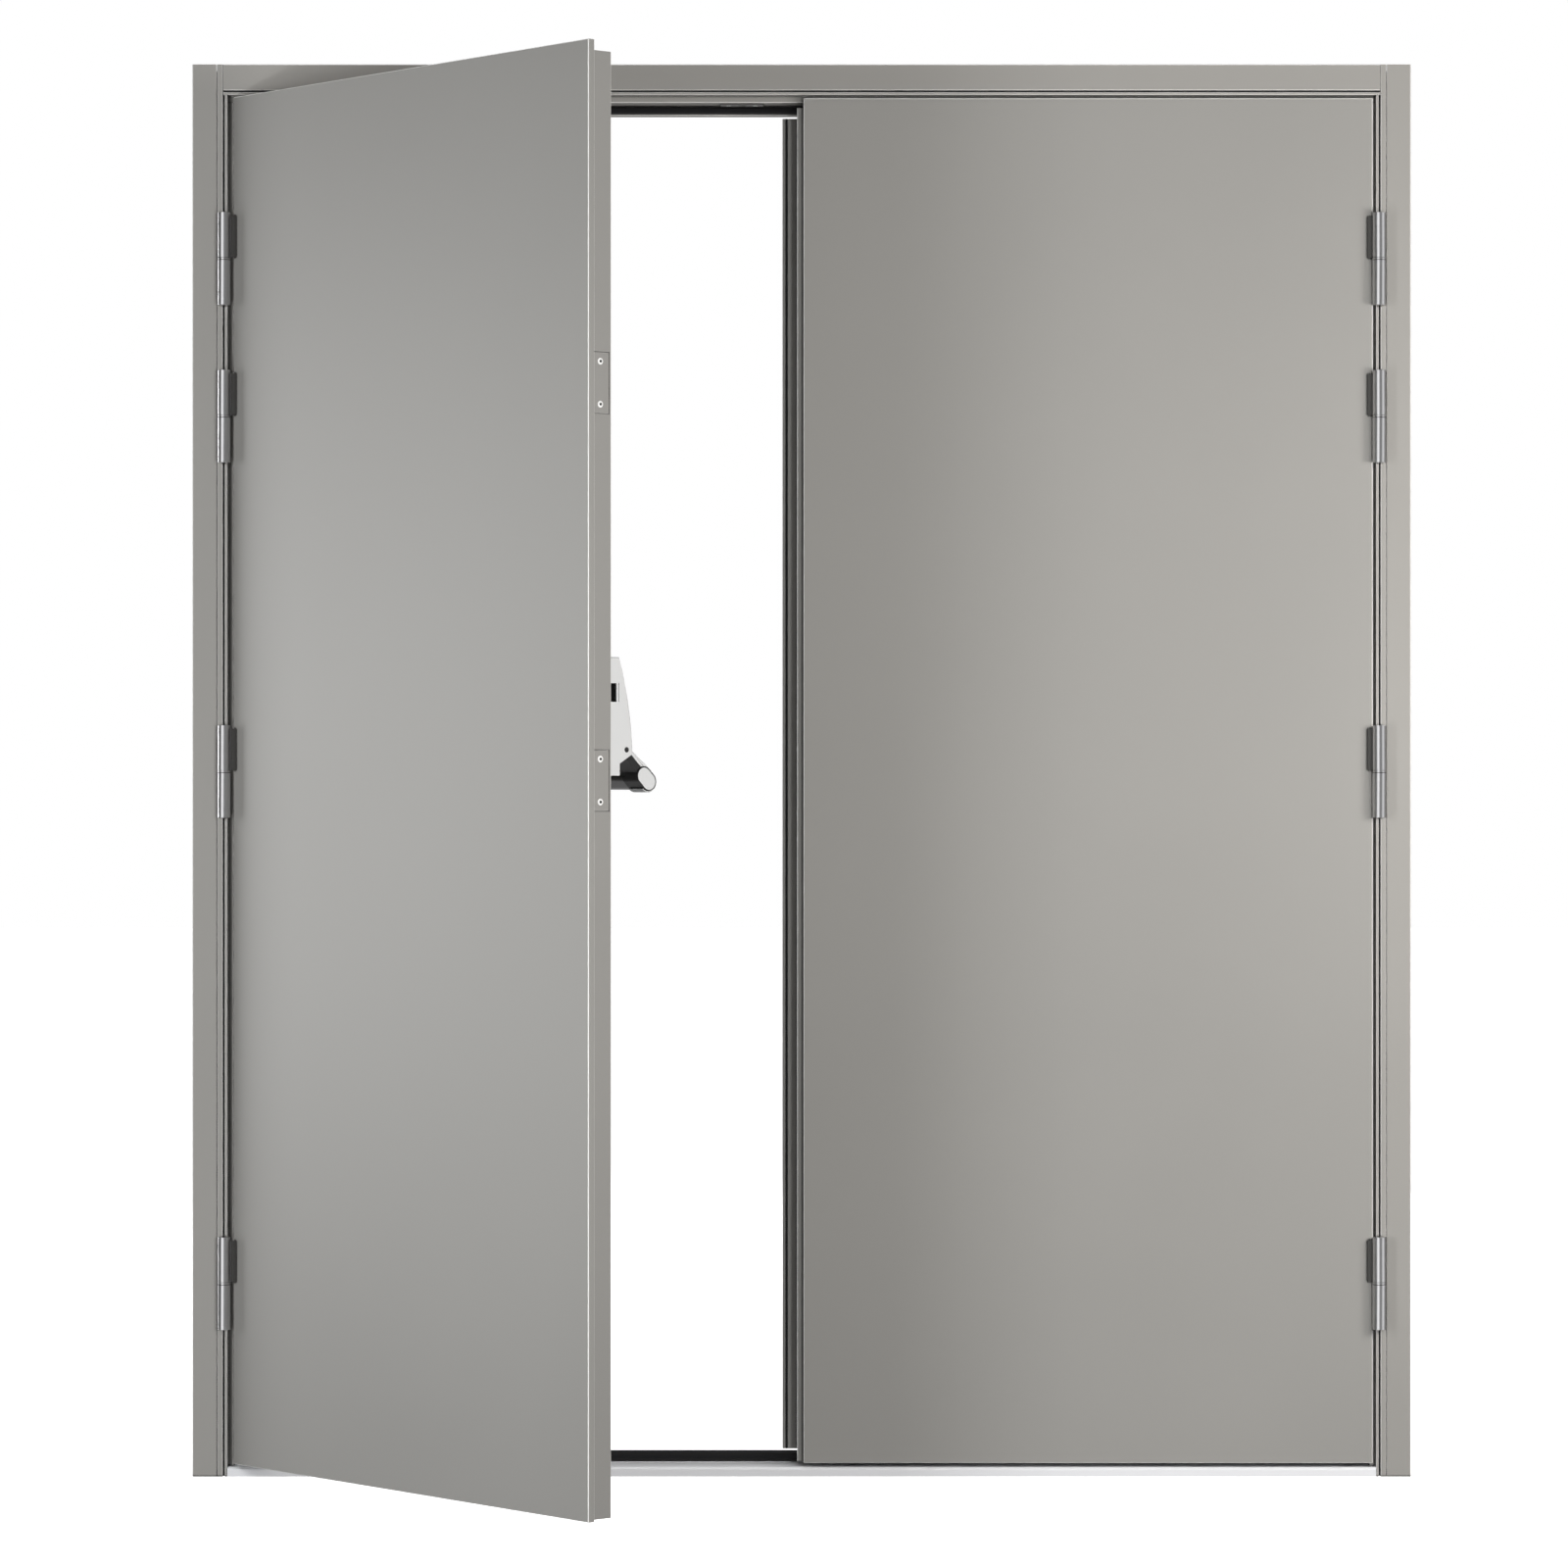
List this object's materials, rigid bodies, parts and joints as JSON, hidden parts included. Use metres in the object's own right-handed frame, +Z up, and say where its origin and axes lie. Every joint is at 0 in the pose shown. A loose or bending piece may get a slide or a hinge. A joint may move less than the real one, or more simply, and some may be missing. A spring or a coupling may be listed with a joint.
{
  "type": "double-leaf steel utility door with frame",
  "caption": "Double-leaf steel exit door in a folded rebated frame with seals and a sill, on barrel hinges, with a sprung push bar on the leaf that stands open.",
  "frame": {"origin": "middle of the sill's underside, on the ground, half way through the frame's depth", "axes": "+X along the wall towards the passive leaf's hinges, -Y the side the leaves open to, +Z up"},
  "size_m": [1.812, 0.7312, 2.1],
  "materials": {
    "frame_paint": "satin grey coating",
    "leaf_paint": "satin grey coating",
    "seal_rubber": "matt black",
    "hinge_steel": "satin",
    "keep_steel": "satin",
    "sill_metal": "mill finish",
    "casing_shell": "light grey, fine texture",
    "arm_black": "black",
    "bar_metal": "dark anodised"
  },
  "bodies": {
    "frame": {"left_jamb": "frame_paint", "right_jamb": "frame_paint", "left_jamb_trim": "frame_paint", "right_jamb_trim": "frame_paint", "head": "frame_paint", "sill": "sill_metal", "head_bolt_keep": "keep_steel", "left_jamb_seal": "seal_rubber", "right_jamb_seal": "seal_rubber", "head_seal": "seal_rubber", "sill_seal": "seal_rubber", "left_top_frame_hinge": "hinge_steel", "left_upper_frame_hinge": "hinge_steel", "left_middle_frame_hinge": "hinge_steel", "left_low_frame_hinge": "hinge_steel", "right_top_frame_hinge": "hinge_steel", "right_upper_frame_hinge": "hinge_steel", "right_middle_frame_hinge": "hinge_steel", "right_low_frame_hinge": "hinge_steel"},
    "active_leaf": {"active_front_skin": "leaf_paint", "active_rear_skin": "leaf_paint", "main_lock_plate": "leaf_paint", "upper_lock_plate": "leaf_paint", "active_top_leaf_hinge": "hinge_steel", "active_upper_leaf_hinge": "hinge_steel", "active_middle_leaf_hinge": "hinge_steel", "active_low_leaf_hinge": "hinge_steel", "free_side_bar_casing": "casing_shell", "hinge_side_bar_casing": "casing_shell"},
    "passive_leaf": {"passive_front_skin": "leaf_paint", "passive_rear_skin": "leaf_paint", "strike_keep": "keep_steel", "meeting_strip": "leaf_paint", "meeting_seal": "seal_rubber", "passive_top_leaf_hinge": "hinge_steel", "passive_upper_leaf_hinge": "hinge_steel", "passive_middle_leaf_hinge": "hinge_steel", "passive_low_leaf_hinge": "hinge_steel"},
    "push_bar": {"push_bar": "bar_metal", "free_side_bar_arm": "arm_black", "hinge_side_bar_arm": "arm_black", "free_side_arm_cover": "casing_shell", "hinge_side_arm_cover": "casing_shell", "free_side_bar_cap": "casing_shell", "hinge_side_bar_cap": "casing_shell"}
  },
  "joints": [
    {"name": "active_leaf_swing", "type": "hinge", "parent": "frame", "child": "active_leaf", "pos_m": [-0.8577, -0.051, 1.05], "axis": [0, 0, -1], "range_deg": [-49.3, 130.7]},
    {"name": "passive_leaf_swing", "type": "hinge", "parent": "frame", "child": "passive_leaf", "pos_m": [0.8577, -0.051, 1.05], "axis": [0, 0, 1], "range_deg": [0, 180]},
    {"name": "push_bar_press", "type": "hinge", "parent": "active_leaf", "child": "push_bar", "pos_m": [-0.44765, -0.35781, 1.0776], "axis": [-0.6521, 0.7581, 0], "range_deg": [0, 18], "stiffness_Nm_per_rad": 3, "springref_deg": -17.19}
  ]
}
